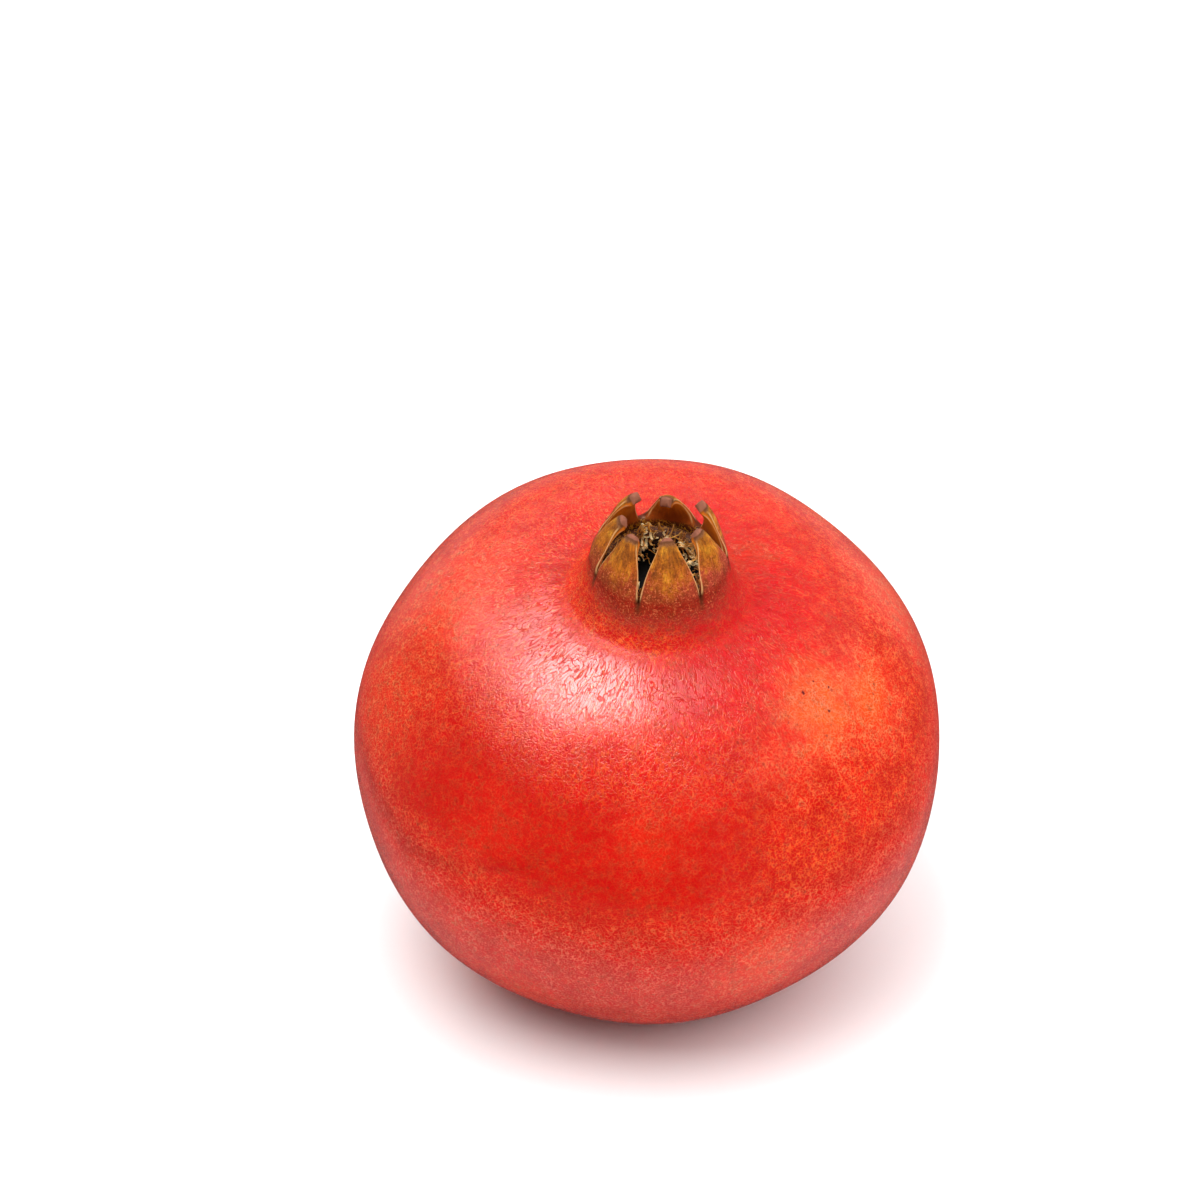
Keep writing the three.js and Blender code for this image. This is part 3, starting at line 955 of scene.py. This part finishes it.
def crown_skin(paint, at, pattern, skin, neck, brown):
    """Skin that browns up the neck, with the lobes, the throat, painted shade in the notches, on the lower
    inner faces and in the throat, cream edges that are partly painted highlight, and scars at the tips.
    """
    share = at.share
    speckle = pattern.speckle
    skin = paint.mix(neck * 0.92, skin, NECK_BROWN)
    skin = paint.mix((share + speckle * 0.3).step(-0.06, 0.18), skin, lobe_colour(paint, at, pattern))
    crumbs = paint.noise(at.grown, 0.3, 1.0)
    threads = paint.fibres(paint.swirl(at.grown, 1.0, 0.7), 0.55)
    dusting = brown * (share + (pattern.scatter - 0.5)).step(0.8, 0.2)
    skin = paint.mix(threads * crumbs.step(0.42, 0.6) * dusting * 0.5, skin, LOBE_FIBRE)
    skin = paint.mix(crumbs.step(0.46, 0.34) * brown * 0.4, skin, LOBE_LINE)
    # Painted shade: the feet of the notches between the lobes are darkened.
    notch_shade = at.edge.step(0.84, 1.0) * (at.z + speckle * 2).step(44.8, 47) * share.step(0.35, 0.05)
    skin = paint.mix(notch_shade * 0.85, skin, LOBE_LINE)

    # Painted shade: the inner faces of the lobes darken from orange at the tips to brown low down, where
    # shade falls inside the crown.
    inner = paint.mix((share + (pattern.streak - 0.5) * 0.4).step(0.1, 0.6), INNER_SHADE, INNER_ORANGE)
    # The throat's wall is dark brown under golden lint: partly its own brown, partly painted shade in the
    # deep throat.
    linty = paint.mix(threads * 0.6, THROAT_BROWN_AND_SHADE, LOBE_GOLD)
    inner = paint.mix(share.step(0.08, 0.0), inner, linty)
    skin = paint.mix(at.inside.step(0.3, 0.8), skin, inner)
    corner = at.inside.step(0.32, 0.05).math("MAXIMUM", at.inside.step(0.8, 1.0))
    # Cream along the lobes' cut edges: partly their own pale rims, partly a painted highlight on the
    # rounded corners.
    rim = at.edge.step(0.92, 0.99) * corner * share.step(0.04, 0.14) * share.step(0.95, 0.85)
    skin = paint.mix(rim * 0.7, skin, RIM_CREAM_AND_HIGHLIGHT)
    skin = paint.mix((share + speckle * 0.04).step(0.935, 0.965) * 0.5, skin, LOBE_LINE)
    return paint.mix((share + speckle * 0.03).step(0.97, 0.99) * 0.9, skin, SCAR)


def rind_material():
    """Waxy red rind with fine pale curled fibres, combed near the crown, browning on the calyx lobes."""
    paint = Paint(bpy.data.materials.new("pomegranate_rind"))
    at = rind_place(paint)
    pattern = rind_pattern(paint, at)
    # A band across the front of the lower body, painted deeper red as partly painted shade, with fewer
    # fibres, less relief and less shine.
    shaded_belt = at.z.step(11, 19) * at.z.step(35, 27) * at.y.step(-4, -24) * at.x.step(28, 6)
    browning = at.z + pattern.speckle * 5 - at.y.step(-9, -2) * 2.5
    neck = browning.step(41, 46.5) * at.radius.step(16.5, 12.5)
    brown = neck.math("MAXIMUM", at.share.step(0.0, 0.05))
    skin = ripe_skin(paint, at, pattern, shaded_belt)
    skin = crown_skin(paint, at, pattern, skin, neck, brown)

    furrows = pattern.crease * (0.25 + pattern.near_crown * 0.25)
    leather = (pattern.fibre * 0.45 - furrows) * (1 - shaded_belt * 0.35) + pattern.grain * 0.3
    paint.shade(
        Base_Color=skin,
        Roughness=0.25 + (pattern.scatter - 0.5) * 0.06,
        Specular_IOR_Level=0.66,
        Normal=paint.bump(leather, LEATHER_RELIEF),
    )

    # Where the shine is lost: on the dry crown, in creases, round the neck and on the front of the belly
    dull_crease = pattern.crease * (0.3 + pattern.near_crown * 0.6)
    collar = at.radius.step(17.5, 14.5) * 0.75
    belly = at.radius.step(29, 36) * at.z.step(2, 12) * at.y.step(14, -4) * 0.92
    dull = brown
    for place in (at.inside, dull_crease, collar, belly, shaded_belt):
        dull = dull.math("MAXIMUM", place)
    bark = pattern.grain * 0.7 + pattern.streak * 1.3
    relief = leather + (bark - leather) * at.share.step(0.0, 0.2)
    paint.crossfade(
        dull,
        Base_Color=skin,
        Roughness=0.7,
        Specular_IOR_Level=0.04,
        Normal=paint.bump(relief, BARK_RELIEF),
    )
    return paint.owner


def stamen_material():
    """Dry threads and anthers, each stamen a random tone from brown to gold and its anther from gold to a
    cream that is partly painted highlight, on a bed painted darker downwards as painted shade.
    """
    paint = Paint(bpy.data.materials.new("dried_stamen"))
    grown = paint.attribute("grown").outputs["Vector"]
    ripeness = paint.number("ripeness")
    shade = paint.number("shade")
    grain = paint.noise(grown, 0.35, 2.0)
    thread = paint.mix(shade, THREAD_BROWN, THREAD_GOLD)
    # Anthers run from gold to cream at random: the cream is partly their own pale colour, partly a painted
    # highlight.
    anther = paint.mix(shade + (grain - 0.5) * 0.8, ANTHER_GOLD, ANTHER_CREAM_AND_HIGHLIGHT)
    height = paint.split(grown)[2]
    lint = paint.fibres(paint.swirl(grown, 0.9, 0.7), 0.6)
    tangle = paint.mix(lint * 0.7, BED_BROWN, BED_LINT)
    # Painted shade: the bed darkens to near black deep down in the throat.
    bed = paint.mix((height + (grain - 0.5) * 3).step(42.5, 47), BED_SHADE, tangle)
    colour = paint.mix(ripeness.step(0.05, ROOT_RIPENESS), bed, thread)
    colour = paint.mix(ripeness.step(DROOP_RIPENESS, 0.95), colour, anther)
    normal = paint.bump(grain, STAMEN_RELIEF)
    paint.shade(Base_Color=colour, Roughness=0.7, Specular_IOR_Level=0.2, Normal=normal)
    return paint.owner


def floor_material():
    paint = Paint(bpy.data.materials.new("studio_floor"))
    paint.shade(Base_Color=FLOOR_WHITE, Roughness=0.9, Specular_IOR_Level=0.0)
    return paint.owner


def dress(piece, node, material):
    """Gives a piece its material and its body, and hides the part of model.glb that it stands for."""
    piece.data.materials.clear()
    piece.data.materials.append(material)
    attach(piece, "root")
    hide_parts(node)


def hang_panel(name, middle, width, depth, glow, shines):
    """A soft level panel of light above the fruit, which shows in the shine alone or lights alone."""
    light = bpy.data.lights.new(name, "AREA")
    light.shape = "RECTANGLE"
    light.size = width
    light.size_y = depth
    light.energy = glow * math.pi * width * depth
    lamp = bpy.data.objects.new(name, light)
    bpy.context.scene.collection.objects.link(lamp)
    lamp.location = middle
    lamp.visible_glossy = shines
    lamp.visible_diffuse = not shines


def light_backdrop():
    """Light from all round: bright low down behind, on the right and on the left, and from below."""
    world = bpy.data.worlds.new("studio")
    bpy.context.scene.world = world
    paint = Paint(world, "Background")
    ways = paint.node("ShaderNodeTexCoord", {})
    x, y, z = paint.split(ways.outputs["Generated"])
    behind = (x * 0.45 + y * 0.89).step(-0.3, 0.8) * 0.5
    leftward = (x * -1).step(0.3, 0.9) * 0.2
    low = abs(z).step(0.5, 0.0)
    under_fruit = y.step(-0.1, 0.4) * abs(x).step(0.45, 0.15)
    below = (z * -1).step(0.2, 0.85) * (1 - under_fruit * 0.85)
    from_below = below * (0.4 + x.step(0.3, 0.9) * 0.5)
    paint.shade(Color=(1, 1, 1, 1), Strength=0.005 + (behind + leftward) * low + from_below)


def light_studio():
    """A plain pale floor under soft lights."""
    bpy.ops.object.select_all(action="DESELECT")
    bpy.ops.mesh.primitive_plane_add(size=FLOOR_SIZE, location=(0, 0, -FLOOR_SINK))
    floor = bpy.context.object
    floor.name = "studio_floor"
    floor.data.materials.append(floor_material())
    floor.visible_glossy = False
    light_backdrop()
    for name, (middle, width, depth, glow) in SHINE_PANELS.items():
        hang_panel(name, middle, width, depth, glow, shines=True)
    for name, (middle, width, depth, glow) in FILL_PANELS.items():
        hang_panel(name, middle, width, depth, glow, shines=False)
    bpy.context.scene.view_settings.view_transform = "Standard"


def place_camera():
    """A long lens that looks down on the front, with the fruit low in the frame and right of the middle."""
    camera = bpy.data.cameras.new("camera")
    camera.lens = LENS_MM
    camera.sensor_width = SENSOR_MM
    camera.clip_end = FARTHEST
    holder = bpy.data.objects.new("camera", camera)
    bpy.context.scene.collection.objects.link(holder)
    bpy.context.scene.camera = holder
    right = Vector((1, 0, 0))
    ahead = Vector((0, math.cos(LOOK_DOWN), -math.sin(LOOK_DOWN)))
    above = Vector((0, math.sin(LOOK_DOWN), math.cos(LOOK_DOWN)))
    spot = AIM - ahead * DISTANCE
    spot += right * (FRAME_RIGHT * DISTANCE) + above * (FRAME_UP * DISTANCE)
    turn = Matrix((right, above, -ahead)).transposed().to_4x4()
    holder.matrix_world = Matrix.Translation(spot) @ turn


dress(grow_fruit(), "fruit", rind_material())
dress(grow_stamens(), "stamens", stamen_material())
light_studio()
place_camera()
